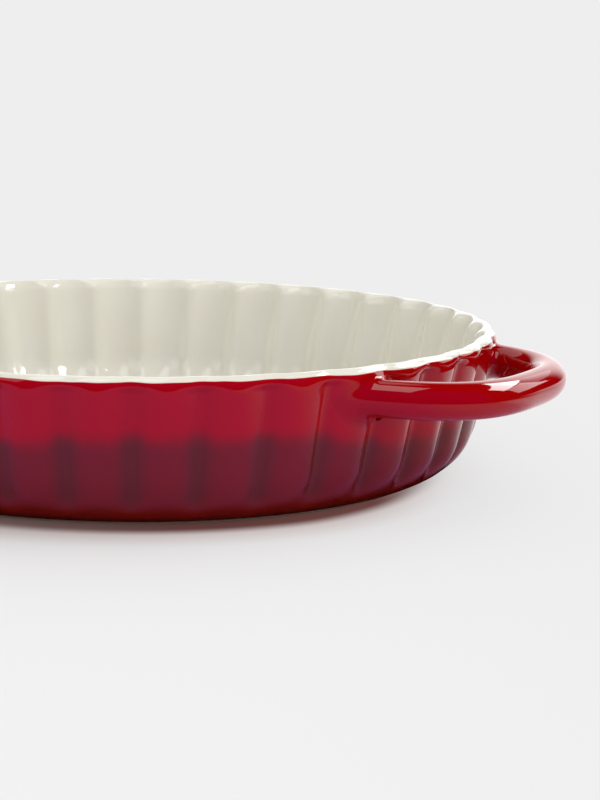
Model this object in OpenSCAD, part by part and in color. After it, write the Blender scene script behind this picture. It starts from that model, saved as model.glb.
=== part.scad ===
// Round fluted baking dish in glazed stoneware, one piece with two loop handles.
// Millimetres. The dish stands on z = 0, centred on the Z axis, with its handles along X.

/* [Dish] */
// Diameter over the rim
rim_d = 280; // [240:1:320]
// Height from the table to the top of the lip
height = 54; // [46:0.5:70]
// Diameter over the foot ring
foot_d = 231; // [190:1:236]
// Thickness of the fluted wall
wall = 5.5; // [4.5:0.1:7]
// Thickness of the base between the foot and the floor
base_t = 6; // [4:0.1:9]
// Slope of the wall away from upright, in degrees
flare = 12.5; // [9:0.5:16]

/* [Flutes] */
// Number of flutes around the wall
flutes = 38; // [28:2:44]
// Depth of the grooves between the outer lobes
groove_d = 3.2; // [1:0.1:4]
// Height of the ridges on the inner wall
ridge_d = 2.6; // [1:0.1:4]
// Scallop left in the outer edge of the lip
scallop_out = 1.2; // [0:0.1:2]
// Height of the plain band above the foot where the grooves end
foot_band = 4; // [2:0.5:8]

/* [Rim] */
// Width of the lip from its crown to its outer edge
lip_out = 3; // [1:0.1:3.4]
// Height of the lip's rounding
lip_h = 4.5; // [2:0.1:6]
// Height of the collar above the middle of the lobes' rounded tops
collar_h = 4; // [3:0.1:10]

/* [Foot] */
// Width of the unglazed ring that the dish stands on
foot_ring_w = 6; // [3:0.5:12]
// Depth of the hollow inside the foot ring
foot_hollow = 1.2; // [0.5:0.1:2.5]
// Height of the bevel round the outside of the foot
foot_bevel = 0.8; // [0.4:0.1:1.5]
// Radius of the corner between the floor and the inner wall
floor_corner = 14; // [8:1:20]

/* [Handles] */
// Thickness of the handle bar
bar_d = 13; // [10:0.1:15]
// Width of the loop between the middles of its two arms
loop_w = 103.5; // [80:0.5:120]
// How far the handle stands out from the rim
reach = 30.9; // [24:0.1:40]
// Depth of the bar's middle below the top of the lip, at the wall
bar_drop = 10.8; // [10:0.1:16]
// How far the outer end of the loop hangs below its roots
droop = 0.6; // [0:0.1:4]
// How far a root spreads along the wall, away from the loop
root_out = 7; // [3:0.5:10]
// How far a root spreads along the wall, into the loop
root_in = 6; // [2:0.5:7]
// How far a root spreads downwards
root_under = 1.5; // [0:0.1:3]
// How far from the wall a root has narrowed to the bar
root_run = 9; // [5:0.5:12]

/* [Hidden] */

// Driving radii and angles
rim_r = rim_d / 2;
foot_r = foot_d / 2;
pitch = 360 / flutes;
lip_start = -atan(lip_h * tan(flare) / lip_out);
shoulder_z = height - lip_h * (1 - sin(lip_start));
inner_lip_z = height - lip_h;
lobe_top_z = height - collar_h;
floor_z = foot_hollow + base_t;

// Outer wall: a sloping line, rounded into the foot. leave_a is the angle at the foot.
leave_a = 78;
line_base_r = rim_r - lip_out * (1 - cos(lip_start)) - shoulder_z * tan(flare);
bend_r = (foot_r - line_base_r - foot_bevel * tan(flare))
    / (cos(leave_a) - cos(flare) + tan(flare) * (sin(leave_a) - sin(flare)));
bend_top_z = foot_bevel + bend_r * (sin(leave_a) - sin(flare));
bend_z = bend_top_z + bend_r * sin(flare);
bend_centre_r = line_base_r + bend_top_z * tan(flare) - bend_r * cos(flare);

// Inner wall: the same line set in by the wall, rounded into the floor
inner_base_r = line_base_r - wall / cos(flare);
corner_z = floor_z + floor_corner;
corner_top_z = corner_z - floor_corner * sin(flare);
corner_centre_r = inner_base_r + corner_z * tan(flare) - floor_corner / cos(flare);

// Heights over which the grooves and the ridges grow out of the plain surface
groove_rise = 9;
ridge_rise = 13;
top_fade = 3;

// Softness of a groove and a ridge: where along half a flute the lobe turns over
groove_soft = 0.8;
ridge_soft = 0.62;

// Places of the columns within a flute, the groove being at 0
FINE = [0, 0.08, 0.25, 0.5, 0.75, 0.92];
COARSE = [0, 0.5];

// Handle path: a squared half ellipse in plan, with its middle inside the dish
path_power = 0.71;
path_x = rim_r * 0.7;
path_depth = rim_r + reach - bar_d / 2 - path_x;
bar_z = height - bar_drop;
bar_sides = 16;
path_rings = 17;

function smooth(t) = let (c = min(max(t, 0), 1)) c * c * (3 - 2 * c);
function fraction(t) = t - floor(t);

// One flute across its width: 0 on the crown of the lobe and 1 in the groove
function flute(a, soft) =
    let (x = abs(2 * fraction(a / pitch) - 1))
    x < soft ? x * x / soft : 1 - (1 - x) * (1 - x) / (1 - soft);

// Radius of the lobes' crowns at a height: the bend over the foot, the wall, and the lip's outside
function crown_r(z) =
    z < bend_top_z ? bend_centre_r + sqrt(max(0, bend_r * bend_r - (bend_z - z) * (bend_z - z)))
    : z < shoulder_z ? line_base_r + z * tan(flare)
    : rim_r - lip_out * (1 - sqrt(max(0, 1 - pow((z - inner_lip_z) / lip_h, 2))));

// Radius of the inner troughs at a height
function trough_r(z) =
    z < corner_top_z
        ? corner_centre_r + sqrt(max(0, floor_corner * floor_corner - (corner_z - z) * (corner_z - z)))
        : inner_base_r + z * tan(flare);

// Depth of the grooves and of the ridges at a height
function groove_at(z) =
    groove_d * smooth((z - foot_band) / groove_rise)
    + (scallop_out - groove_d) * smooth((z - lobe_top_z + top_fade / 2) / top_fade);
function ridge_at(z) = ridge_d * smooth((z - floor_z) / ridge_rise);

// The outer and the inner face of the wall in any direction and at any height
function out_r(a, z) = crown_r(z) - groove_at(z) * flute(a, groove_soft);
function in_r(a, z) = trough_r(z) - ridge_at(z) * flute(a, ridge_soft);

// A point of the lip's inside at t degrees round it, from its crown at 90 to the wall at 180.
// Like the outside, it meets the wall without a corner.
function lip_inside(a, t) =
    let (crown = out_r(a, height), half = crown - in_r(a, inner_lip_z))
    [crown + (half - lip_h * tan(flare) * sin(t)) * cos(t), inner_lip_z + lip_h * sin(t)];

function bend_height(t) = bend_z - bend_r * sin(t);
function corner_height(t) = corner_z - floor_corner * sin(t);
function wall_z(share) = bend_top_z + (shoulder_z - bend_top_z) * share;
function inner_z(share) = corner_top_z + (inner_lip_z - corner_top_z) * share;

// Rows of the skin from the middle of the base, out, up and over the lip, and down to the floor.
// Each row has its columns and a function that gives [radius, height] in a direction.
ROWS = concat(
    [[COARSE, function (a) [foot_r - foot_ring_w - 1.5 * foot_hollow, foot_hollow]],
     [COARSE, function (a) [foot_r - foot_ring_w, 0]],
     [COARSE, function (a) [foot_r - foot_bevel, 0]],
     [COARSE, function (a) [foot_r, foot_bevel]]],
    [for (t = [0.84, 0.68, 0.53, 0.38, 0.2])
        let (z = bend_height(flare + (leave_a - flare) * t))
        [t > 0.8 ? COARSE : FINE, function (a) [out_r(a, z), z]]],
    [for (share = [0, 0.6, 1])
        let (z = wall_z(share))
        [FINE, function (a) [out_r(a, z), z]]],
    [for (t = [10, 35, 60, 90])
        let (z = inner_lip_z + lip_h * sin(t))
        [FINE, function (a) [out_r(a, z), z]]],
    [for (t = [125, 155, 180])
        [FINE, function (a) lip_inside(a, t)]],
    [for (share = [0.5, 0])
        let (z = inner_z(share))
        [FINE, function (a) [in_r(a, z), z]]],
    [for (t = [0.3, 0.6])
        let (z = corner_height(flare + (90 - flare) * t))
        [FINE, function (a) [in_r(a, z), z]]],
    [[COARSE, function (a) [corner_centre_r + floor_corner * cos(flare + (90 - flare) * 0.8),
        corner_height(flare + (90 - flare) * 0.8)]],
     [COARSE, function (a) [corner_centre_r, floor_z]]]
);

function row_size(r) = flutes * len(ROWS[r][0]);
function row_start(r) = r == 0 ? 0 : row_start(r - 1) + row_size(r - 1);
function row_points(r) = [
    for (n = [0:flutes - 1], share = ROWS[r][0])
        let (a = (n + share) * pitch, p = ROWS[r][1](a))
        [p[0] * cos(a), p[0] * sin(a), p[1]]
];

// Triangles between two rows with the same columns
function band(lo, hi, count) = [
    for (i = [0:count - 1])
        let (j = (i + 1) % count)
        each [[lo + i, hi + i, hi + j], [lo + i, hi + j, lo + j]]
];

// Triangles of one flute between a coarse row and a fine row; up says that the fine row follows
function splice(coarse, fine, up) = [
    for (n = [0:flutes - 1])
        let (
            c = [for (k = [0:2]) coarse + (2 * n + k) % (2 * flutes)],
            f = [for (k = [0:6]) fine + (6 * n + k) % (6 * flutes)]
        )
        each [
            for (tri = [
                [c[0], f[0], f[1]], [c[0], f[1], f[2]], [c[0], f[2], c[1]],
                [c[1], f[2], f[3]], [c[1], f[3], f[4]], [c[1], f[4], c[2]],
                [c[2], f[4], f[5]], [c[2], f[5], f[6]]
            ])
                up ? tri : [tri[0], tri[2], tri[1]]
        ]
];

function between(r) =
    let (lo = row_start(r), hi = row_start(r + 1), a = row_size(r), b = row_size(r + 1))
    a == b ? band(lo, hi, a)
    : a < b ? splice(lo, hi, true)
    : splice(hi, lo, false);

// Body of the dish: base, fluted wall, lip and floor as one skin
module shell() {
    last = len(ROWS) - 1;
    polyhedron(
        points = [for (r = [0:last]) each row_points(r)],
        faces = concat(
            [[for (i = [0:row_size(0) - 1]) i]],
            [for (r = [0:last - 1]) each between(r)],
            [[for (i = [row_size(last) - 1:-1:0]) row_start(last) + i]]
        )
    );
}

// Handle path in plan and its height, t running from 0 to 180 degrees
function signed_power(v, p) = sign(v) * pow(abs(v), p);
function path(t) =
    let (out = path_depth * pow(sin(t), path_power))
    [path_x + out, -loop_w / 2 * signed_power(cos(t), path_power),
     bar_z - droop * (path_x + out - rim_r) / reach];

// Angle on the path at which the bar's middle crosses a radius
function crossing(r, lo = 2, hi = 80, n = 20) =
    let (mid = (lo + hi) / 2, p = path(mid))
    n == 0 ? mid
    : norm([p[0], p[1]]) < r ? crossing(r, mid, hi, n - 1)
    : crossing(r, lo, mid, n - 1);

// One ring of the bar, square to the path in plan, with a share of the root's spread
function bar_ring(t, spread) =
    let (
        p = path(t),
        d = path(t + 0.5) - path(t - 0.5),
        side = [-d[1], d[0]] / norm([d[0], d[1]])
    )
    [for (k = [0:bar_sides - 1])
        let (
            c = cos(k * 360 / bar_sides),
            s = sin(k * 360 / bar_sides),
            in = (bar_d / 2 + spread * (c > 0 ? root_in : root_out)) * c,
            up = (bar_d / 2 + spread * (s < 0 ? root_under : 0)) * s
        )
        [p[0] + side[0] * in, p[1] + side[1] * in, p[2] + up]];

// The same ring laid against the wall, lift away from its outer face
function hug(ring, lift) = [
    for (p = ring)
        let (a = atan2(p[1], p[0]), r = out_r(a, p[2]) + lift)
        [r * cos(a), r * sin(a), p[2]]
];

// Rings of one handle: two roots that start inside the wall and narrow in a fillet, and the loop
root_t = crossing(rim_r);
first_t = crossing(rim_r + root_run + bar_d / 3);
ROOT = [
    for (w = [0, 20, 42, 65])
        [w == 0 ? -wall / 2 : root_run * (1 - cos(w)), 1 - sin(w)]
];
HANDLE_RINGS = concat(
    [for (r = ROOT) hug(bar_ring(root_t, r[1]), r[0])],
    [for (k = [0:path_rings - 1]) bar_ring(first_t + (180 - 2 * first_t) * k / (path_rings - 1), 0)],
    [for (k = [len(ROOT) - 1:-1:0]) hug(bar_ring(180 - root_t, ROOT[k][1]), ROOT[k][0])]
);

// Middle of a root's first ring, laid inside the wall with it
function ring_middle(ring) =
    hug([[for (axis = [0:2]) [for (p = ring) p[axis]] * [for (p = ring) 1] / len(ring)]], -wall / 2)[0];

// Handle as one swept skin, closed inside the wall at both roots
module handle() {
    rings = len(HANDLE_RINGS);
    count = bar_sides;
    first_mid = rings * count;
    last_mid = first_mid + 1;
    last_start = (rings - 1) * count;
    polyhedron(
        points = concat(
            [for (ring = HANDLE_RINGS) each ring],
            [ring_middle(HANDLE_RINGS[0]), ring_middle(HANDLE_RINGS[rings - 1])]
        ),
        faces = concat(
            [for (r = [0:rings - 2]) each band(r * count, (r + 1) * count, count)],
            [for (i = [0:count - 1]) [first_mid, i, (i + 1) % count]],
            [for (i = [0:count - 1]) [last_mid, last_start + (i + 1) % count, last_start + i]]
        )
    );
}

module baking_dish() {
    color("firebrick") union() {
        shell();
        handle();
        rotate([0, 0, 180]) handle();
    }
}

baking_dish();
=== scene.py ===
"""Looks of a round fluted baking dish in glazed stoneware with two loop handles.

The dish is one fired piece: a red glaze that runs to burgundy towards the foot, a cream
glaze inside and over the lip, and a bare foot ring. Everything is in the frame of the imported
part. Forms are worked out in millimetres and become metres in their meshes.
"""

import logging
import math
from dataclasses import dataclass
from enum import Enum
from functools import cached_property
from typing import Callable, Sequence

import bmesh
import bpy
import numpy as np
from mathutils import Matrix, Vector


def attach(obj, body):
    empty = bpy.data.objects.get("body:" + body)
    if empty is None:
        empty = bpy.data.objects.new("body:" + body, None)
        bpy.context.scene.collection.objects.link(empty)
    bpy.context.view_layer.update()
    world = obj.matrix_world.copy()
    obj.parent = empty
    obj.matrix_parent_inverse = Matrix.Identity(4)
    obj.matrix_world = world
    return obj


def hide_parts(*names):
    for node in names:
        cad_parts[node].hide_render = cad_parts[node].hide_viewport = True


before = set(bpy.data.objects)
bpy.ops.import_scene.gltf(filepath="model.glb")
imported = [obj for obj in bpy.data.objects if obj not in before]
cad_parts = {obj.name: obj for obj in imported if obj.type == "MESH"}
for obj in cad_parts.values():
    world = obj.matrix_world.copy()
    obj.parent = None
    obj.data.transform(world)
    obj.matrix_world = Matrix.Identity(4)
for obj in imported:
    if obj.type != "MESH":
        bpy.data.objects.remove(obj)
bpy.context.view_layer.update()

log = logging.getLogger("baking_dish")

MM = 0.001
NODE = "baking_dish"
BODY = "root"
BLACK = (0.0, 0.0, 0.0)
WHITE = (1.0, 1.0, 1.0)

Socket = bpy.types.NodeSocket
Colour = tuple[float, float, float]
Span = tuple[float, float]


def smooth(t: float) -> float:
    """Smooth step from 0 to 1."""
    c = min(max(t, 0.0), 1.0)
    return c * c * (3.0 - 2.0 * c)


class Side(Enum):
    """The end of the dish that a handle is on."""

    RIGHT = 1
    LEFT = -1


@dataclass(frozen=True)
class WallForm:
    """Sizes of the dish in millimetres, and the radii of its wall at any height."""

    rim_r: float = 140.0
    height: float = 54.0
    foot_r: float = 115.5
    wall: float = 5.5
    base_t: float = 6.0
    flare: float = math.radians(12.5)
    leave: float = math.radians(78.0)
    flutes: int = 38
    groove_d: float = 3.2
    ridge_d: float = 3.4
    scallop_out: float = 1.2
    foot_band: float = 4.0
    lip_out: float = 3.0
    lip_h: float = 4.5
    collar_h: float = 4.0
    foot_ring_w: float = 6.0
    foot_hollow: float = 1.2
    foot_bevel: float = 0.8
    floor_corner: float = 18.0
    groove_rise: float = 9.0
    ridge_rise: float = 5.0
    top_fade: float = 3.0
    groove_soft: float = 0.8
    ridge_soft: float = 0.72
    ridge_turn: float = 0.26

    @property
    def shoulder_z(self) -> float:
        """Height at which the outer wall turns into the lip, without a corner."""
        return self.height - self.lip_h * (1.0 + math.sin(self.lip_start))

    @property
    def lip_start(self) -> float:
        """Angle under the lip's widest place at which its rounding leaves the wall."""
        return math.atan(self.lip_h * math.tan(self.flare) / self.lip_out)

    @property
    def inner_lip_z(self) -> float:
        """Height at which the lip turns into the inner wall."""
        return self.height - self.lip_h

    @property
    def floor_z(self) -> float:
        """Height of the floor inside the dish."""
        return self.foot_hollow + self.base_t

    @property
    def line_base_r(self) -> float:
        """Radius at which the outer wall's sloping line would meet the table."""
        shoulder_r = self.rim_r - self.lip_out * (1.0 - math.cos(self.lip_start))
        return shoulder_r - self.shoulder_z * math.tan(self.flare)

    @property
    def inner_base_r(self) -> float:
        """Radius at which the inner wall's sloping line would meet the table."""
        return self.line_base_r - self.wall / math.cos(self.flare)

    @property
    def bend_r(self) -> float:
        """Radius of the bend between the wall and the foot."""
        tilt = math.tan(self.flare)
        reach = self.foot_r - self.line_base_r - self.foot_bevel * tilt
        rise = math.sin(self.leave) - math.sin(self.flare)
        return reach / (math.cos(self.leave) - math.cos(self.flare) + tilt * rise)

    @property
    def bend_top_z(self) -> float:
        """Height at which the bend runs into the sloping wall."""
        return self.foot_bevel + self.bend_r * (math.sin(self.leave) - math.sin(self.flare))

    @property
    def corner_z(self) -> float:
        """Height of the centre of the rounding between floor and wall."""
        return self.floor_z + self.floor_corner

    @property
    def corner_top_z(self) -> float:
        """Height at which that rounding runs into the inner wall."""
        return self.corner_z - self.floor_corner * math.sin(self.flare)

    @property
    def corner_centre_r(self) -> float:
        """Distance of that rounding's centre from the axis."""
        on_line = self.inner_base_r + self.corner_z * math.tan(self.flare)
        return on_line - self.floor_corner / math.cos(self.flare)

    def crown_r(self, z: float) -> float:
        """Radius of the lobes' crowns.

        Args:
            z: height over the table.

        Returns:
            The radius in millimetres.
        """
        tilt = math.tan(self.flare)
        if z < self.bend_top_z:
            centre_z = self.bend_top_z + self.bend_r * math.sin(self.flare)
            on_line = self.line_base_r + self.bend_top_z * tilt
            centre_r = on_line - self.bend_r * math.cos(self.flare)
            return centre_r + math.sqrt(max(0.0, self.bend_r ** 2 - (centre_z - z) ** 2))
        if z < self.shoulder_z:
            return self.line_base_r + z * tilt
        rise = (z - self.inner_lip_z) / self.lip_h
        return self.rim_r - self.lip_out * (1.0 - math.sqrt(max(0.0, 1.0 - rise * rise)))

    def trough_r(self, z: float) -> float:
        """Radius of the inner wall between its ridges.

        Args:
            z: height over the table.

        Returns:
            The radius in millimetres.
        """
        if z < self.corner_top_z:
            drop = self.corner_z - z
            return self.corner_centre_r + math.sqrt(max(0.0, self.floor_corner ** 2 - drop ** 2))
        return self.inner_base_r + z * math.tan(self.flare)

    def groove_at(self, z: float) -> float:
        """Depth of the outer grooves at a height; they end under the collar."""
        grown = self.groove_d * smooth((z - self.foot_band) / self.groove_rise)
        lobe_top_z = self.height - self.collar_h
        faded = smooth((z - lobe_top_z + self.top_fade / 2) / self.top_fade)
        return grown + (self.scallop_out - self.groove_d) * faded

    def ridge_at(self, z: float) -> float:
        """How far the inner ridges stand out at a height."""
        return self.ridge_d * smooth((z - self.floor_z) / self.ridge_rise)

    def lobe(self, angle: float) -> float:
        """How far a direction is into a groove: 0 on a lobe's crown and 1 in the groove."""
        x = abs(2.0 * ((angle / (2.0 * math.pi / self.flutes)) % 1.0) - 1.0)
        soft = self.groove_soft
        return x * x / soft if x < soft else 1.0 - (1.0 - x) ** 2 / (1.0 - soft)


@dataclass(frozen=True)
class ProfilePoint:
    """One ring of the dish: radius, height, and how deep grooves and ridges cut it there."""

    r: float
    z: float
    lobe_cut: float = 0.0
    ridge_cut: float = 0.0


class Sheet:
    """A node tree that is being drawn, with short calls for its commonest nodes.

    The numbers are the places of the colour sockets on Blender's mix node.
    """

    FIRST_COLOUR = 6
    SECOND_COLOUR = 7
    MIXED_COLOUR = 2

    def __init__(self, tree: bpy.types.NodeTree) -> None:
        """Keeps the tree."""
        self.tree = tree

    def node(self, kind: str, given: dict | None = None, **settings: object) -> bpy.types.Node:
        """Adds a node.

        Args:
            kind: Blender's name of the node type.
            given: what its inputs get, by their names or places.
            settings: properties to set on it.

        Returns:
            The new node.
        """
        made = self.tree.nodes.new(kind)
        for name, value in settings.items():
            setattr(made, name, value)
        self.feed(made, given or {})
        return made

    def feed(self, node: bpy.types.Node, given: dict) -> None:
        """Links a node's inputs to sockets, or sets their values.

        Args:
            node: the node.
            given: what its inputs get, by their names or places.
        """
        for place, value in given.items():
            if isinstance(value, Socket):
                self.tree.links.new(value, node.inputs[place])
            else:
                node.inputs[place].default_value = value

    def math(self, operation: str, *values: object) -> Socket:
        """Adds a math node.

        Args:
            operation: Blender's name of the operation.
            values: sockets or numbers, in order.

        Returns:
            The result's socket.
        """
        return self.node("ShaderNodeMath", dict(enumerate(values)), operation=operation).outputs[0]

    def plus(self, first: object, second: object) -> Socket:
        """Adds two numbers."""
        return self.math("ADD", first, second)

    def minus(self, first: object, second: object) -> Socket:
        """Takes the second number from the first."""
        return self.math("SUBTRACT", first, second)

    def times(self, first: object, second: object) -> Socket:
        """Multiplies two numbers."""
        return self.math("MULTIPLY", first, second)

    def ramp(self, value: object, low: object, high: object) -> Socket:
        """Maps a value from low..high to 0..1, smoothly and clamped."""
        given = {"Value": value, "From Min": low, "From Max": high}
        made = self.node("ShaderNodeMapRange", given, interpolation_type="SMOOTHSTEP")
        return made.outputs["Result"]

    def split(self, vector: Socket) -> list[Socket]:
        """Takes a vector apart into its three numbers."""
        return list(self.node("ShaderNodeSeparateXYZ", {0: vector}).outputs)

    def dot(self, vector: Socket, way: Sequence[float]) -> Socket:
        """How far a vector reaches along a fixed one."""
        made = self.node("ShaderNodeVectorMath", {0: vector, 1: way}, operation="DOT_PRODUCT")
        return made.outputs["Value"]

    def blend(self, share: object, first: object, second: object) -> Socket:
        """Mixes two colours, given as sockets or as linear colours."""
        one, two = (c if isinstance(c, Socket) else (*c, 1.0) for c in (first, second))
        given = {0: share, self.FIRST_COLOUR: one, self.SECOND_COLOUR: two}
        return self.node("ShaderNodeMix", given, data_type="RGBA").outputs[self.MIXED_COLOUR]

    def overlay(self, share: object, first: Socket, second: Socket) -> Socket:
        """Mixes two shaders."""
        return self.node("ShaderNodeMixShader", {0: share, 1: first, 2: second}).outputs[0]


class FluteTree(Sheet):
    """The node tree that turns a profile into the fluted dish; MERGE is in metres."""

    NAME = "fluted_dish"
    MERGE = 2e-6
    INPUTS = {"Profile": "Geometry", "Flutes": "Int", "Columns per Flute": "Int",
              "Crowding": "Float", "Lobe Softness": "Float", "Ridge Softness": "Float",
              "Ridge Turn": "Float", "Finish": "Material"}

    def __init__(self) -> None:
        """Draws the whole tree, and keeps the identifiers of its inputs."""
        super().__init__(bpy.data.node_groups.new(self.NAME, "GeometryNodeTree"))
        new = self.tree.interface.new_socket
        self.sockets = {name: new(name, in_out="INPUT", socket_type=f"NodeSocket{kind}").identifier
                        for name, kind in self.INPUTS.items()}
        new("Dish", in_out="OUTPUT", socket_type="NodeSocketGeometry")
        self.given = self.node("NodeGroupInput").outputs
        self.place = self.node("GeometryNodeInputPosition").outputs[0]
        self._draw()

    def _sample(self, value: Socket, row: Socket, kind: str = "FLOAT") -> Socket:
        """Reads a value off the profile at a row."""
        given = {"Geometry": self.given["Profile"], "Value": value, "Index": row}
        made = self.node("GeometryNodeSampleIndex", given, data_type=kind, domain="POINT")
        return made.outputs[0]

    def _attribute(self, name: str) -> Socket:
        """Reads a number stored on the profile."""
        made = self.node("GeometryNodeInputNamedAttribute", {"Name": name}, data_type="FLOAT")
        return made.outputs["Attribute"]

    def _store(self, dish: Socket, name: str, value: Socket) -> Socket:
        """Stores a number on the dish's points."""
        kind, given = "GeometryNodeStoreNamedAttribute", {0: dish, "Name": name, "Value": value}
        return self.node(kind, given, data_type="FLOAT", domain="POINT").outputs[0]

    def _tent(self, share: Socket) -> Socket:
        """Distance from a flute's middle: 0 there and 1 at its edges."""
        return self.math("ABSOLUTE", self.minus(self.times(share, 2.0), 1.0))

    def _cut(self, x: Socket, soft: Socket) -> Socket:
        """Shape of one flute across its width, 0 on the crown and 1 in the groove."""
        crown = self.math("DIVIDE", self.times(x, x), soft)
        left = self.minus(1.0, x)
        bottom = self.math("DIVIDE", self.times(left, left), self.minus(1.0, soft))
        past = self.math("GREATER_THAN", x, soft)
        given = {"Factor": past, "A": crown, "B": self.minus(1.0, bottom)}
        return self.node("ShaderNodeMix", given, data_type="FLOAT").outputs["Result"]

    def _grid(self) -> tuple[Socket, Socket, Socket]:
        """Lays a flat grid, with a column for every direction and a row for every ring.

        Returns:
            The grid, and the numbers of the column and the row that a point is in.
        """
        profile = {"Geometry": self.given["Profile"]}
        size = self.node("GeometryNodeAttributeDomainSize", profile, component="MESH")
        rows = size.outputs["Point Count"]
        columns = self.times(self.given["Flutes"], self.given["Columns per Flute"])
        given = {"Size X": 1.0, "Size Y": 1.0,
                 "Vertices X": self.plus(columns, 1.0), "Vertices Y": rows}
        grid = self.node("GeometryNodeMeshGrid", given)
        x, y, _ = self.split(self.place)
        column = self.math("ROUND", self.times(self.plus(x, 0.5), columns))
        row = self.math("ROUND", self.times(self.plus(y, 0.5), self.minus(rows, 1.0)))
        return grid.outputs["Mesh"], column, row

    def _direction(self, column: Socket) -> tuple[Socket, Socket]:
        """Turns a column's number into a direction, with the columns crowded in the grooves.

        Args:
            column: the column's number.

        Returns:
            How far it is through its flute, from 0 to 1, and its direction in radians.
        """
        within = self.math("DIVIDE", column, self.given["Columns per Flute"])
        turn = self.math("FLOOR", within)
        share = self.minus(within, turn)
        wave = self.math("SINE", self.times(share, math.tau))
        shift = self.times(wave, self.math("DIVIDE", self.given["Crowding"], math.tau))
        share = self.minus(share, shift)
        pitch = self.math("DIVIDE", math.tau, self.given["Flutes"])
        return share, self.times(self.plus(turn, share), pitch)

    def _wrap(self, row: Socket, share: Socket, angle: Socket) -> tuple[Socket, Socket, Socket]:
        """Finds a point's place on the dish.

        Args:
            row: the number of its ring on the profile.
            share: how far it is through its flute.
            angle: its direction.

        Returns:
            The place, the way along the profile from the lip's crown, and the groove's depth.
        """
        r, _, z = self.split(self._sample(self.place, row, "FLOAT_VECTOR"))
        names = ("lobe_cut", "ridge_cut", "along")
        lobe_cut, ridge_cut, along = (self._sample(self._attribute(n), row) for n in names)
        cut = self.times(lobe_cut, self._cut(self._tent(share), self.given["Lobe Softness"]))
        behind = self.math("FRACT", self.plus(share, self.given["Ridge Turn"]))
        ridge = self._cut(self._tent(behind), self.given["Ridge Softness"])
        radius = self.minus(self.minus(r, cut), self.times(ridge_cut, ridge))
        given = {0: self.times(radius, self.math("COSINE", angle)),
                 1: self.times(radius, self.math("SINE", angle)), 2: z}
        return self.node("ShaderNodeCombineXYZ", given).outputs[0], along, cut

    def _draw(self) -> None:
        """Wraps the grid round the axis, with what the glaze reads, and closes its seam."""
        dish, column, row = self._grid()
        point, along, cut = self._wrap(row, *self._direction(column))
        dish = self._store(dish, "along", along)
        dish = self._store(dish, "groove", self.math("DIVIDE", cut, WallForm.groove_d * MM))
        for kind, given in (("SetPosition", {"Position": point}),
                            ("MergeByDistance", {"Distance": self.MERGE}),
                            ("SetShadeSmooth", {}), ("RealizeInstances", {}),
                            ("SetMaterial", {"Material": self.given["Finish"]})):
            dish = self.node(f"GeometryNode{kind}", {0: dish, **given}).outputs[0]
        self.node("NodeGroupOutput", {0: dish})


def finish_piece(piece: bpy.types.Object) -> None:
    """Hands a piece over: it moves with the dish and stands for the solid, which is hidden."""
    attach(piece, BODY)
    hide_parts(NODE)
    mesh = piece.data
    log.info("%s: %d points, %d faces", piece.name, len(mesh.vertices), len(mesh.polygons))


def add_object(name: str, data: bpy.types.ID) -> bpy.types.Object:
    """Puts a mesh, a lamp or a camera into the scene as an object at the origin."""
    made = bpy.data.objects.new(name, data)
    bpy.context.scene.collection.objects.link(made)
    return made


def outward(mesh: bpy.types.Mesh) -> None:
    """Turns every face of a closed mesh outwards and shades it smooth."""
    edit = bmesh.new()
    edit.from_mesh(mesh)
    bmesh.ops.recalc_face_normals(edit, faces=edit.faces)
    edit.to_mesh(mesh)
    edit.free()
    mesh.shade_smooth()


def stretch(count: int, point: Callable[[float], ProfilePoint]) -> list[ProfilePoint]:
    """Points of one stretch of the profile, at even shares from 0 to 1."""
    return [point(k / (count - 1)) for k in range(count)]


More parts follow.
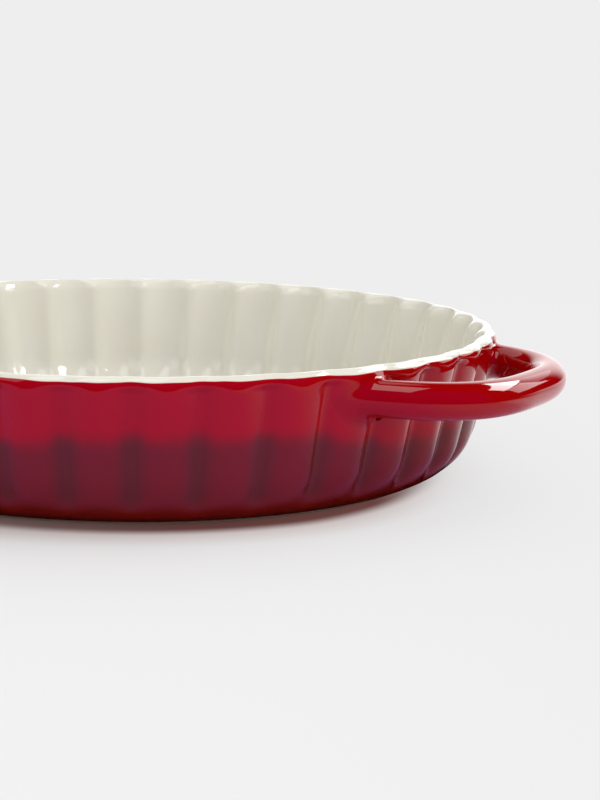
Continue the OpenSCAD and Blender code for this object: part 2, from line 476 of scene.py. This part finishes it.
@dataclass
class DishBody:
    """Base, fluted wall, collar, lip and floor, as one skin, and how its rings are spread."""

    form: WallForm = WallForm()
    columns_per_flute: int = 20
    crowding: float = 0.5
    hollow_slope: float = 1.5
    base_rings: tuple[float, ...] = (0.0, 30.0, 60.0, 85.0)
    base_edge: float = 1.5
    slope_points: int = 5
    ring_edge: float = 1.0
    bevel_points: int = 5
    bend_steps: int = 14
    bend_crowding: float = 1.3
    wall_points: int = 12
    lip_points: int = 30
    inner_points: int = 13
    corner_points: int = 13
    floor_edge: float = 2.0
    floor_rings: tuple[float, ...] = (95.0, 65.0, 30.0, 0.0)

    def _outer(self, z: float) -> ProfilePoint:
        """A point of the outer wall."""
        return ProfilePoint(self.form.crown_r(z), z, self.form.groove_at(z), 0.0)

    def _inner(self, z: float) -> ProfilePoint:
        """A point of the inner wall."""
        return ProfilePoint(self.form.trough_r(z), z, 0.0, self.form.ridge_at(z))

    def _lip(self, turn: float) -> ProfilePoint:
        """A point of the lip.

        Args:
            turn: angle round the lip: 0 at its widest place, pi / 2 on its crown and pi at
                the inner wall.

        Returns:
            The point, which carries the scallops of both edges.
        """
        f = self.form
        z = f.inner_lip_z + f.lip_h * math.sin(turn)
        if turn < math.pi / 2:
            return self._outer(z)
        c = math.cos(turn)
        crown, inner = f.crown_r(f.height), f.trough_r(f.inner_lip_z)
        half = crown - inner - f.lip_h * math.tan(f.flare) * math.sin(turn)
        scallop, ridge = f.scallop_out * (1 + c), -f.ridge_at(f.inner_lip_z) * c
        return ProfilePoint(crown + half * c, z, scallop, ridge)

    def _foot(self) -> list[ProfilePoint]:
        """The base from its middle outwards, and the foot ring with its bevel."""
        f = self.form
        ring_in = f.foot_r - f.foot_ring_w
        hollow_r = ring_in - self.hollow_slope * f.foot_hollow
        radii = (*self.base_rings, hollow_r - self.base_edge)
        slope = stretch(self.slope_points, lambda s: ProfilePoint(
            hollow_r + (ring_in - hollow_r) * s, f.foot_hollow * (1 - smooth(s))))
        ring = [ProfilePoint(ring_in + self.ring_edge, 0.0),
                ProfilePoint(f.foot_r - f.foot_bevel - self.ring_edge, 0.0)]
        bevel = stretch(self.bevel_points, lambda s: ProfilePoint(
            f.foot_r - f.foot_bevel * (1 - math.sin(s * math.pi / 2)),
            f.foot_bevel * (1 - math.cos(s * math.pi / 2))))
        return [ProfilePoint(r, f.foot_hollow) for r in radii] + slope + ring + bevel

    def _wall(self) -> list[ProfilePoint]:
        """The outer wall, from the foot's bevel to the lip."""
        f = self.form
        bend, straight = f.bend_top_z - f.foot_bevel, f.shoulder_z - f.bend_top_z
        shares = [(k / self.bend_steps) ** self.bend_crowding for k in range(1, self.bend_steps)]
        return ([self._outer(f.foot_bevel + bend * share) for share in shares]
                + stretch(self.wall_points, lambda s: self._outer(f.bend_top_z + straight * s)))

    def _inside(self) -> list[ProfilePoint]:
        """The lip, the inner wall, its rounded corner and the floor to the middle."""
        f = self.form
        over, fall = math.pi + f.lip_start, f.corner_top_z - f.inner_lip_z
        lip = stretch(self.lip_points, lambda s: self._lip(-f.lip_start + over * s))
        wall = stretch(self.inner_points, lambda s: self._inner(f.inner_lip_z + fall * s))
        turns = np.linspace(f.flare, math.pi / 2, self.corner_points)[1:]
        corner = [self._inner(f.corner_z - f.floor_corner * math.sin(t)) for t in turns]
        radii = (f.corner_centre_r - self.floor_edge, *self.floor_rings)
        return lip[1:] + wall[1:] + corner + [ProfilePoint(r, f.floor_z) for r in radii]

    def _profile_object(self, points: Sequence[ProfilePoint]) -> bpy.types.Object:
        """The profile as a chain of points that carries what the tree reads."""
        mesh = bpy.data.meshes.new("dish_profile")
        chain = [(k, k + 1) for k in range(len(points) - 1)]
        mesh.from_pydata([(p.r * MM, 0.0, p.z * MM) for p in points], chain, [])
        steps = [math.hypot(b.r - a.r, b.z - a.z) for a, b in zip(points, points[1:])]
        run = np.cumsum([0.0] + steps)
        crown = max(range(len(points)), key=lambda k: points[k].z)
        values = {"along": (run[crown] - run) * MM,
                  "lobe_cut": [p.lobe_cut * MM for p in points],
                  "ridge_cut": [p.ridge_cut * MM for p in points]}
        for name, numbers in values.items():
            held = mesh.attributes.new(name, "FLOAT", "POINT").data
            held.foreach_set("value", np.array(numbers, np.float32))
        return add_object("dish_profile", mesh)

    def build(self, finish: bpy.types.Material) -> bpy.types.Object:
        """Makes the fluted skin with the node tree, and turns it into a plain mesh.

        Args:
            finish: the glaze.

        Returns:
            The finished piece.
        """
        holder = self._profile_object(self._foot() + self._wall() + self._inside())
        tree = FluteTree()
        modifier = holder.modifiers.new("flutes", "NODES")
        modifier.node_group = tree.tree
        given = {"Flutes": self.form.flutes, "Columns per Flute": self.columns_per_flute,
                 "Crowding": self.crowding, "Lobe Softness": self.form.groove_soft,
                 "Ridge Softness": self.form.ridge_soft, "Ridge Turn": self.form.ridge_turn,
                 "Finish": finish}
        for name, value in given.items():
            modifier[tree.sockets[name]] = value
        graph = bpy.context.evaluated_depsgraph_get()
        graph.update()
        mesh = bpy.data.meshes.new_from_object(holder.evaluated_get(graph))
        bpy.data.objects.remove(holder)
        outward(mesh)
        piece = add_object("dish_body", mesh)
        finish_piece(piece)
        return piece


@dataclass
class LoopHandle:
    """One loop handle: a round bar that grows out of the wall in two filleted roots.

    Places along the loop run from 0 at one root to pi at the other. Each pair in sunk is a
    ring inside the wall: how far past the fillet's foot, and how far under the skin.
    """

    form: WallForm = WallForm()
    bar_r: float = 6.5
    loop_w: float = 103.5
    reach: float = 30.9
    bar_drop: float = 10.8
    droop: float = 0.6
    power: float = 0.71
    middle: float = 98.0
    fillet_out: float = 8.0
    fillet_in: float = 7.0
    fillet_top: float = 2.5
    fillet_under: float = 4.0
    blend: float = 2.2
    sides: int = 72
    fillet_rings: int = 18
    bar_rings: int = 48
    sunk: tuple[Span, ...] = ((2.4, 0.60), (1.6, 0.20), (0.8, 0.04))
    path_step: float = 0.004
    lowest: float = 1.0
    search: Span = (0.03, 1.2)
    halvings: int = 36
    square_after: float = 5.0
    settle: float = 0.16

    def path(self, t: float) -> np.ndarray:
        """Middle of the bar.

        Args:
            t: place along the loop, from 0 to pi.

        Returns:
            The point in millimetres, for the handle on +X.
        """
        depth = self.form.rim_r + self.reach - self.bar_r - self.middle
        out = depth * math.sin(t) ** self.power
        across = -self.loop_w / 2 * math.copysign(abs(math.cos(t)) ** self.power, math.cos(t))
        drooped = self.droop * (self.middle + out - self.form.rim_r) / self.reach
        return np.array([self.middle + out, across, self.form.height - self.bar_drop - drooped])

    def bar(self, t: float, round_angle: float) -> np.ndarray:
        """A point on the bar's skin; round_angle is 0 towards the loop's hole, pi / 2 on top."""
        way = self.path(t + self.path_step) - self.path(t - self.path_step)
        side = np.array([-way[1], way[0], 0.0]) / math.hypot(way[0], way[1])
        up = np.array([0.0, 0.0, 1.0])
        out = math.cos(round_angle) * side + math.sin(round_angle) * up
        return self.path(t) + self.bar_r * out

    def _over_wall(self, point: np.ndarray) -> float:
        """How far a point is outside the lobes' crowns."""
        z = min(max(point[2], self.lowest), self.form.height)
        return math.hypot(point[0], point[1]) - self.form.crown_r(z)

    def _reach_height(self, round_angle: float, height: float) -> float:
        """Place along the loop at which a line of the bar's skin is that far outside the wall."""
        low, high = self.search
        for _ in range(self.halvings):
            t = (low + high) / 2
            if self._over_wall(self.bar(t, round_angle)) < height:
                low = t
            else:
                high = t
        return (low + high) / 2

    def _fillet(self, round_angle: float) -> float:
        """Size of the fillet on that side of the bar."""
        c, s = math.cos(round_angle), math.sin(round_angle)
        across = self.fillet_in if c > 0 else self.fillet_out
        upright = self.fillet_top if s > 0 else self.fillet_under
        return 1.0 / math.sqrt((c / across) ** 2 + (s / upright) ** 2)

    def _root_point(self, round_angle: float, turn: float, beyond: float,
                    under: float) -> np.ndarray:
        """A point of the root's fillet, which leaves the wall and meets the bar without a corner.

        Args:
            round_angle: place round the bar.
            turn: from 0 at the wall to 1 where the fillet has become the bar.
            beyond: how far past the fillet's foot it is, along the wall.
            under: how far under the wall's skin it is.

        Returns:
            The point in millimetres.
        """
        f, size = self.form, self._fillet(round_angle)
        lift, spread = size * turn ** self.blend, size * (1 - turn) ** self.blend
        on_bar = self.bar(self._reach_height(round_angle, lift), round_angle)
        a = math.atan2(on_bar[1], on_bar[0])
        a += math.cos(round_angle) * (spread + beyond) / f.rim_r
        z = min(on_bar[2] + math.sin(round_angle) * (spread + beyond), f.height)
        r = f.crown_r(z) - f.groove_at(z) * f.lobe(a) * (1.0 - smooth(turn)) + lift - under
        return np.array([r * math.cos(a), r * math.sin(a), z])

    def _place(self, start: float, full: float, share: float) -> float:
        """Place along the loop of a ring that starts tilted at the root and ends square."""
        if share < self.settle:
            return start + (full - start) * share / self.settle
        return full + (math.pi / 2 - full) * (share - self.settle) / (1 - self.settle)

    def _half(self) -> list[np.ndarray]:
        """Rings from inside the wall to the middle of the loop."""
        angles = [math.tau * k / self.sides for k in range(self.sides)]
        sunk = [(0.0, beyond, under) for beyond, under in self.sunk]
        roots = [(k / (self.fillet_rings - 1), 0.0, 0.0) for k in range(self.fillet_rings)]
        rings = [np.array([self._root_point(a, *at) for a in angles]) for at in sunk + roots]
        start = [self._reach_height(a, self._fillet(a)) for a in angles]
        full = self._reach_height(math.pi, self.fillet_out + self.square_after)
        for k in range(1, self.bar_rings + 1):
            places = [self._place(s, full, k / self.bar_rings) for s in start]
            rings.append(np.array([self.bar(t, a) for t, a in zip(places, angles)]))
        return rings

    def _faces(self, rings: int) -> list[tuple[int, ...]]:
        """Faces between the rings, and fans over both ends round their middle points."""
        count, last = self.sides, (rings - 1) * self.sides
        faces = [(r * count + k, r * count + (k + 1) % count,
                  (r + 1) * count + (k + 1) % count, (r + 1) * count + k)
                 for r in range(rings - 1) for k in range(count)]
        faces += [(rings * count, (k + 1) % count, k) for k in range(count)]
        faces += [(rings * count + 1, last + k, last + (k + 1) % count) for k in range(count)]
        return faces

    def build(self, side: Side, finish: bpy.types.Material) -> bpy.types.Object:
        """Makes the handle as a closed skin.

        Args:
            side: which end of the dish it is on.
            finish: the glaze.

        Returns:
            The finished piece.
        """
        half = self._half()
        rings = half + [ring * [1, -1, 1] for ring in reversed(half[:-1])]
        points = np.concatenate(rings + [[rings[0].mean(0)], [rings[-1].mean(0)]]) * MM
        points[:, :2] *= side.value
        name = f"handle_{side.name.lower()}"
        mesh = bpy.data.meshes.new(name)
        mesh.from_pydata([tuple(p) for p in points], [], self._faces(len(rings)))
        outward(mesh)
        mesh.materials.append(finish)
        piece = add_object(name, mesh)
        finish_piece(piece)
        return piece


class Paint(Sheet):
    """A shader tree, which knows where on a piece it is."""

    @cached_property
    def spot(self) -> Socket:
        """Place in the piece's own space."""
        return self.node("ShaderNodeTexCoord").outputs["Object"]

    def height(self) -> Socket:
        """Height over the table."""
        return self.split(self.spot)[2]

    def noise(self, scale: float, detail: float = 2.0, tall: float = 1.0) -> Socket:
        """Soft noise from -0.5 to 0.5.

        Args:
            scale: how many patches fit in a metre.
            detail: how many finer layers it has.
            tall: how much the patches are drawn out upwards.

        Returns:
            The noise.
        """
        given = {0: self.spot, 1: (1.0, 1.0, 1.0 / tall)}
        drawn = self.node("ShaderNodeVectorMath", given, operation="MULTIPLY").outputs[0]
        given = {"Vector": drawn, "Scale": scale, "Detail": detail}
        return self.minus(self.node("ShaderNodeTexNoise", given).outputs["Fac"], 0.5)


class Recipe(Paint):
    """A shader node group that the materials share."""

    def __init__(self, name: str, takes: str, gives: dict[str, str]) -> None:
        """Opens the group.

        Args:
            name: the group's name.
            takes: the name of its input, a plain value that is 0 unless it is fed.
            gives: its outputs and their socket types.
        """
        super().__init__(bpy.data.node_groups.new(name, "ShaderNodeTree"))
        new = self.tree.interface.new_socket
        new(takes, in_out="INPUT", socket_type="NodeSocketFloat")
        for label, kind in gives.items():
            new(label, in_out="OUTPUT", socket_type=kind)
        self.given = self.node("NodeGroupInput").outputs[takes]
        self.result = self.node("NodeGroupOutput")


class Coat(Paint):
    """A material that is being drawn."""

    def __init__(self, name: str) -> None:
        """Makes the material, with its plain surface."""
        self.material = bpy.data.materials.new(name)
        self.material.use_nodes = True
        super().__init__(self.material.node_tree)
        self.surface = self.tree.nodes["Principled BSDF"]

    def use(self, recipe: Recipe) -> bpy.types.Node:
        """Puts a shared group in."""
        return self.node("ShaderNodeGroup", node_tree=recipe.tree)

    def attribute(self, name: str) -> Socket:
        """Reads a number stored on the piece."""
        return self.node("ShaderNodeAttribute", attribute_name=name).outputs["Fac"]


@dataclass(frozen=True)
class Glaze:
    """Colours and gloss of the fired surface: linear colours, and lengths in millimetres.

    The line is where red meets cream, and the fade is where red turns into burgundy, which
    dips on one side, over a span in metres. A patch is a noise's scale.
    """

    red: Colour = (0.33, 0.0005, 0.0012)
    burgundy: Colour = (0.147, 0.0070, 0.0048)
    # painted shade in the grooves: a darker brown mixed into the burgundy there
    groove_shade: Colour = (0.095, 0.0120, 0.0060)
    groove_shade_share: float = 0.85
    cream: Colour = (0.72, 0.70, 0.61)
    warm_cream: Colour = (0.71, 0.685, 0.59)
    warm_span: Span = (-0.15, 0.2)
    clay: Colour = (0.26, 0.23, 0.17)
    ior: float = 1.5
    roughness: float = 0.05
    dull: float = 0.03
    dull_patch: float = 35.0
    clay_roughness: float = 0.85
    line: float = 2.9
    line_soft: float = 0.15
    line_wave: float = 1.1
    line_patch: float = 42.0
    fade_middle: float = 32.5
    fade_half: float = 4.0
    fade_drift: float = 12.0
    fade_patch: float = 22.0
    fade_detail: float = 3.0
    fade_dip: float = 6.5
    dip_side: tuple[float, float, float] = (0.837, 0.547, 0.0)
    dip_span: Span = (0.055, 0.095)
    # painted shade in the grooves: how much higher the burgundy starts there, and over which
    # groove depths
    groove_shade_lift: float = 0.5
    groove_span: Span = (0.1, 1.0)
    bare_top: float = 0.8
    bare_soft: float = 0.2
    bar_depth: float = 0.1
    ripple: float = 0.05
    ripple_patch: float = 30.0
    grain: float = 0.12
    grain_patch: float = 120.0
    run: float = 0.9
    run_patch: float = 110.0
    run_stretch: float = 9.0

    def red_recipe(self) -> Recipe:
        """Red glaze that runs to burgundy towards the foot, with painted shade in the grooves:
        there it turns burgundy higher up and darker.
        """
        made = Recipe("red_glaze", "Groove", {"Colour": "NodeSocketColor"})
        drift = made.times(made.noise(self.fade_patch, self.fade_detail), self.fade_drift * MM)
        side = made.ramp(made.dot(made.spot, self.dip_side), *self.dip_span)
        height = made.plus(made.plus(made.height(), drift), made.times(side, self.fade_dip * MM))
        # Painted shade in the grooves: the burgundy starts higher there and a darker brown is
        # mixed in.
        groove = made.ramp(made.given, *self.groove_span)
        height = made.minus(height, made.times(groove, self.groove_shade_lift * MM))
        low, high = self.fade_middle - self.fade_half, self.fade_middle + self.fade_half
        dark = made.minus(1.0, made.ramp(height, low * MM, high * MM))
        colour = made.blend(dark, self.red, self.burgundy)
        groove_shade = made.times(made.times(dark, groove), self.groove_shade_share)
        made.feed(made.result, {"Colour": made.blend(groove_shade, colour, self.groove_shade)})
        return made

    def skin_recipe(self) -> Recipe:
        """Gloss of the glaze, with the slow ripple and the faint dulling that firing leaves."""
        gives = {"Roughness": "NodeSocketFloat", "Normal": "NodeSocketVector"}
        made = Recipe("glaze_skin", "Bare", gives)
        dull = made.plus(self.roughness, made.times(made.noise(self.dull_patch), self.dull))
        rough = made.plus(made.times(made.given, self.clay_roughness), dull)
        grain = made.times(made.noise(self.grain_patch, 1.0), self.grain)
        run = made.times(made.noise(self.run_patch, 1.0, self.run_stretch), self.run)
        swell = made.plus(made.plus(made.noise(self.ripple_patch, 1.0), grain), run)
        bump = made.node("ShaderNodeBump", {"Height": swell, "Distance": self.ripple * MM})
        made.feed(made.result, {"Roughness": rough, "Normal": bump.outputs["Normal"]})
        return made

    def _open(self, name: str, skin: Recipe) -> tuple[Coat, bpy.types.Node]:
        """Starts a material whose gloss comes from the shared skin."""
        coat = Coat(name)
        gloss = coat.use(skin)
        given = {label: gloss.outputs[label] for label in ("Roughness", "Normal")}
        coat.feed(coat.surface, {"IOR": self.ior, **given})
        return coat, gloss

    def handle_material(self, red: Recipe, skin: Recipe) -> bpy.types.Material:
        """Makes the handles' glaze, a little deeper than the wall's."""
        coat, _ = self._open("handle_glaze", skin)
        colour = coat.blend(self.bar_depth, coat.use(red).outputs["Colour"], BLACK)
        coat.feed(coat.surface, {"Base Color": colour})
        return coat.material

    def body_material(self, red: Recipe, skin: Recipe) -> bpy.types.Material:
        """Makes the dish's glazes: red outside, cream inside and over the lip, a bare foot.

        Args:
            red: the shared red glaze.
            skin: the shared gloss.

        Returns:
            The material.
        """
        coat, gloss = self._open("body_glaze", skin)
        outside = coat.use(red)
        coat.feed(outside, {"Groove": coat.attribute("groove")})
        drift = coat.noise(self.line_patch)
        wave = coat.times(drift, 2.0 * self.line_wave * MM)
        edge = coat.plus(coat.attribute("along"), wave)
        low, high = self.line - self.line_soft, self.line + self.line_soft
        inside = coat.blend(coat.ramp(drift, *self.warm_span), self.cream, self.warm_cream)
        is_red = coat.ramp(edge, low * MM, high * MM)
        fired = coat.blend(is_red, inside, outside.outputs["Colour"])
        low, high = self.bare_top - self.bare_soft, self.bare_top + self.bare_soft
        bare = coat.ramp(coat.height(), high * MM, low * MM)
        coat.feed(gloss, {"Bare": bare})
        coat.feed(coat.surface, {"Base Color": coat.blend(bare, fired, self.clay)})
        return coat.material


FACING_FLUTE = 6
VIEW_TURN = math.radians(90.0 - FACING_FLUTE * 360.0 / WallForm.flutes)
BACKDROP = 0.855
RIGHTWARDS = 90.0


def direction(azimuth: float, elevation: float) -> Vector:
    """Direction from the dish.

    Args:
        azimuth: degrees from the camera's side, growing towards the right of the picture.
        elevation: degrees over the floor.

    Returns:
        The unit vector.
    """
    az, el, a = math.radians(azimuth), math.radians(elevation), VIEW_TURN
    right = Vector((math.cos(a), math.sin(a), 0.0))
    back = Vector((-math.sin(a), math.cos(a), 0.0))
    flat = math.sin(az) * right - math.cos(az) * back
    return math.cos(el) * flat + Vector((0.0, 0.0, math.sin(el)))


def grey(level: float, tint: Colour = WHITE) -> Colour:
    """A level of grey, seen through a tint."""
    return tuple(level * share for share in tint)


class Reach(Enum):
    """Which light a soft box gives."""

    SHADING = "shading"
    GLEAM = "gleam"


@dataclass(frozen=True)
class SoftBox:
    """A soft box, placed by its direction from the dish; azimuth 0 is towards the camera."""

    name: str
    reach: Reach
    azimuth: float
    elevation: float
    size: Span
    radiance: float
    distance: float = 2.0

    def hang(self) -> None:
        """Hangs the soft box so that it faces the dish."""
        data = bpy.data.lights.new(self.name, "AREA")
        data.shape = "RECTANGLE"
        data.size, data.size_y = self.size
        data.energy = self.radiance * math.pi * self.size[0] * self.size[1]
        made = add_object(self.name, data)
        place = direction(self.azimuth, self.elevation) * self.distance
        made.location = place
        made.rotation_euler = (-place).to_track_quat("-Z", "Y").to_euler()
        made.visible_camera = False
        made.visible_diffuse = self.reach is Reach.SHADING
        made.visible_glossy = self.reach is Reach.GLEAM


SOFT_BOXES = (
    SoftBox("shade_front", Reach.SHADING, 0.0, 30.0, (1.1, 1.1), 0.60),
    SoftBox("shade_side", Reach.SHADING, 75.0, 30.0, (1.1, 1.1), 1.75),
    SoftBox("shade_high", Reach.SHADING, 80.0, 58.0, (1.1, 1.1), 1.15),
    SoftBox("gleam_top", Reach.GLEAM, -24.0, 75.0, (0.80, 1.30), 2.3),
    SoftBox("gleam_left", Reach.GLEAM, -62.0, 42.0, (1.25, 0.95), 1.1),
    SoftBox("gleam_key", Reach.GLEAM, 116.0, 42.0, (1.50, 0.54), 11.0),
    SoftBox("gleam_low", Reach.GLEAM, 111.0, 24.0, (1.00, 0.70), 3.0, 2.1),
    SoftBox("gleam_side", Reach.GLEAM, 136.0, 31.0, (0.90, 0.80), 0.8, 2.2),
    SoftBox("gleam_back", Reach.GLEAM, -152.0, 58.0, (1.50, 1.30), 0.9),
)


@dataclass(frozen=True)
class Camera:
    """The camera, where its fit to the photograph has it; the eye is in rim radii."""

    eye: Span = (5.5227, 1.1413)
    unit: float = 0.140
    pitch: float = 0.1762
    roll: float = 0.0068
    focal_px: float = 2002.4
    centre_x: float = 131.8
    frame_px: tuple[int, int] = (600, 800)
    sensor: float = 36.0
    sight: float = 50.0

    def build(self) -> None:
        """Puts the camera up."""
        data = bpy.data.cameras.new("camera")
        made = add_object("camera", data)
        away, up = self.eye[0] * self.unit, self.eye[1] * self.unit
        a, p, r = VIEW_TURN, self.pitch, self.roll
        forward = Vector((-math.sin(a) * math.cos(p), math.cos(a) * math.cos(p), -math.sin(p)))
        flat = Vector((math.cos(a), math.sin(a), 0.0))
        rise = flat.cross(forward)
        right = flat * math.cos(r) + rise * math.sin(r)
        top = rise * math.cos(r) - flat * math.sin(r)
        turn = Matrix((right, top, -forward)).transposed()
        place = Matrix.Translation((away * math.sin(a), -away * math.cos(a), up))
        made.matrix_world = place @ turn.to_4x4()
        width, height = self.frame_px
        data.sensor_fit = "VERTICAL"
        data.sensor_height = self.sensor
        data.lens = self.focal_px * self.sensor / height
        data.shift_x = (width / 2 - self.centre_x) / height
        data.clip_end = self.sight
        bpy.context.scene.camera = made


@dataclass(frozen=True)
class FloorLook:
    """The floor's colours, and the spans in metres over which they change.

    Spans are measured off the axis, to its right side, or back towards the bright part.
    """

    half_size: float = 6.0
    level: float = 0.76
    roughness: float = 0.9
    backdrop_off: Span = (0.28, 0.6)
    glow_side: Span = (-0.08, 0.20)
    glow_left: float = 0.25
    glow_right: float = 0.92
    bright_azimuth: float = 148.0
    bright_part: Span = (0.55, 0.92)
    bright_strength: float = 1.5
    gleam_front: Colour = (0.50, 0.22, 0.62)
    gleam_right: Colour = (0.58, 0.42, 0.56)
    gleam_behind: Colour = (1.0, 0.95, 0.98)
    right_side: Span = (0.08, 0.17)
    behind_back: Span = (0.02, 0.08)
    # painted shadow in reflections: the floor is black this close to the dish
    dark_off: Span = (0.124, 0.133)
    # painted shadow on the floor under the dish's rim: its reach, its colours, and how it weakens
    # and draws in to the sides
    under_rim: Span = (0.1220, 0.1322)
    under_rim_shadow: Colour = (0.22, 0.09, 0.08)
    past_rim: Span = (0.126, 0.150)
    past_rim_shadow: Colour = (0.86, 0.77, 0.75)
    lamp_side: Span = (0.085, 0.122)
    lamp_lift: float = 0.85
    left_side: Span = (-0.06, 0.03)
    left_lift: float = 0.22
    draw_side: Span = (0.055, 0.125)
    draw: float = 0.008


class FloorPaint(Coat):
    """The floor's material: with a painted shadow under the rim, and colours of its own in gleams.
    """

    def __init__(self, look: FloorLook) -> None:
        """Finds where a spot of the floor lies, and draws the material."""
        super().__init__("floor")
        self.look = look
        ray = self.node("ShaderNodeLightPath").outputs
        self.to_camera, self.in_gleams = ray["Is Camera Ray"], ray["Is Glossy Ray"]
        length = self.node("ShaderNodeVectorMath", {0: self.spot}, operation="LENGTH")
        self.off = length.outputs["Value"]
        self.back = self.dot(self.spot, direction(look.bright_azimuth, 0.0))
        self.side = self.dot(self.spot, direction(RIGHTWARDS, 0.0))
        self.far = self.ramp(self.off, *look.backdrop_off)
        # Where and how deep the painted shadow under the rim lies.
        lift = self.times(self.ramp(self.side, *look.lamp_side), look.lamp_lift)
        self.covered = self.minus(1.0, lift)
        left = self.times(self.ramp(self.side, *reversed(look.left_side)), look.left_lift)
        self.deep = self.times(self.covered, self.minus(1.0, left))
        drawn = self.times(self.ramp(self.side, *look.draw_side), look.draw)
        self.from_rim = self.plus(self.off, drawn)
        self._draw()

    def _shaded(self, level: float) -> Socket:
        """Colour of the floor at a level, with a painted shadow, darker and redder, under the
        dish's rim.
        """
        look = self.look
        under = self.times(self.ramp(self.from_rim, *reversed(look.under_rim)), self.deep)
        past = self.times(self.ramp(self.from_rim, *reversed(look.past_rim)), self.covered)
        outer = self.blend(past, grey(level), grey(level, look.past_rim_shadow))
        return self.blend(under, outer, grey(level, look.under_rim_shadow))

    def _gleams(self) -> Socket:
        """Colour of the floor in gleams: black close to the dish as a painted shadow in
        reflections, then by its direction.
        """
        look = self.look
        right = self.ramp(self.side, *look.right_side)
        behind = self.ramp(self.back, *look.behind_back)
        ahead = self.blend(right, look.gleam_front, look.gleam_right)
        around = self.blend(behind, ahead, look.gleam_behind)
        return self.blend(self.ramp(self.off, *look.dark_off), BLACK, around)

    def _glow(self) -> tuple[Socket, Socket]:
        """What the floor shows however it is lit.

        Returns:
            The glow's share of the floor, and its shader.
        """
        look = self.look
        part = self.ramp(self.math("DIVIDE", self.back, self.off), *look.bright_part)
        bright = self.times(self.times(part, look.bright_strength), self.in_gleams)
        strength = self.math("MAXIMUM", self.to_camera, bright)
        given = {"Color": self._shaded(BACKDROP), "Strength": strength}
        glow = self.node("ShaderNodeEmission", given)
        more = self.times(self.ramp(self.side, *look.glow_side), look.glow_right - look.glow_left)
        near = self.plus(look.glow_left, more)
        seen = self.times(self.math("MAXIMUM", self.far, near), self.to_camera)
        share = self.math("MAXIMUM", seen, self.times(self.far, self.in_gleams))
        return share, glow.outputs[0]

    def _draw(self) -> None:
        """Joins what the camera, the shading and the gleams see."""
        level = self.look.level
        plain = self.blend(self.to_camera, grey(level), self._shaded(level))
        colour = self.blend(self.in_gleams, plain, self._gleams())
        self.feed(self.surface, {"Base Color": colour, "Roughness": self.look.roughness,
                                 "Specular IOR Level": 0.0})
        share, glow = self._glow()
        shown = self.overlay(share, self.surface.outputs[0], glow)
        self.feed(self.tree.nodes["Material Output"], {"Surface": shown})


@dataclass(frozen=True)
class Room:
    """The room: even light, the backdrop to the camera, and a glow and a haze in gleams.

    Both come from an azimuth and an elevation; their spans are cosines of the angle to it.
    """

    strength: float = 1.0
    glow_from: Span = (168.0, 12.0)
    glow_span: Span = (0.82, 0.97)
    glow_strength: float = 1.7
    haze_from: Span = (0.0, 10.0)
    haze_span: Span = (0.2, 0.7)
    haze_edge: Span = (0.85, 0.82)
    haze: Colour = (0.30, 0.0, 1.0)
    haze_strength: float = 0.19

    def build(self) -> None:
        """Sets the world up."""
        made = bpy.data.worlds.new("studio")
        bpy.context.scene.world = made
        made.use_nodes = True
        sheet = Sheet(made.node_tree)
        ray = sheet.node("ShaderNodeLightPath").outputs
        in_gleams = ray["Is Glossy Ray"]
        look = sheet.node("ShaderNodeTexCoord").outputs["Generated"]
        behind = sheet.dot(look, direction(*self.glow_from))
        ahead = sheet.dot(look, direction(*self.haze_from))
        glow = sheet.times(sheet.ramp(behind, *self.glow_span), self.glow_strength)
        haze = sheet.times(sheet.ramp(ahead, *self.haze_span), self.haze_strength)
        gleam = sheet.times(sheet.math("MAXIMUM", glow, haze), in_gleams)
        plain = sheet.times(sheet.minus(1.0, in_gleams), self.strength)
        hazy = sheet.times(sheet.ramp(behind, *self.haze_edge), in_gleams)
        room = sheet.tree.nodes["Background"]
        colour = sheet.blend(hazy, WHITE, self.haze)
        sheet.feed(room, {"Color": colour, "Strength": sheet.plus(plain, gleam)})
        seen = sheet.node("ShaderNodeBackground", {"Color": (*grey(BACKDROP), 1.0)})
        shown = sheet.overlay(ray["Is Camera Ray"], room.outputs[0], seen.outputs[0])
        sheet.feed(sheet.tree.nodes["World Output"], {"Surface": shown})


@dataclass(frozen=True)
class Studio:
    """Camera, floor, room and lamps."""

    camera: Camera = Camera()
    floor: FloorLook = FloorLook()
    room: Room = Room()
    boxes: tuple[SoftBox, ...] = SOFT_BOXES

    def _lay_floor(self) -> None:
        """Lays the floor, which is stage and not part of the dish."""
        mesh = bpy.data.meshes.new("floor")
        half = self.floor.half_size
        corners = [(-half, -half, 0), (half, -half, 0), (half, half, 0), (-half, half, 0)]
        mesh.from_pydata(corners, [], [(0, 1, 2, 3)])
        mesh.materials.append(FloorPaint(self.floor).material)
        add_object("floor", mesh)

    def build(self) -> None:
        """Sets up the whole studio."""
        self.camera.build()
        self._lay_floor()
        self.room.build()
        for box in self.boxes:
            box.hang()
        bpy.context.scene.view_settings.view_transform = "Standard"
        log.info("studio ready")


def main() -> None:
    """Builds the dish, its handles and the studio."""
    logging.basicConfig(level=logging.INFO, format="%(name)s: %(message)s")
    glaze = Glaze()
    red, skin = glaze.red_recipe(), glaze.skin_recipe()
    DishBody().build(glaze.body_material(red, skin))
    for side in Side:
        LoopHandle().build(side, glaze.handle_material(red, skin))
    Studio().build()


if __name__ == "__main__":
    main()
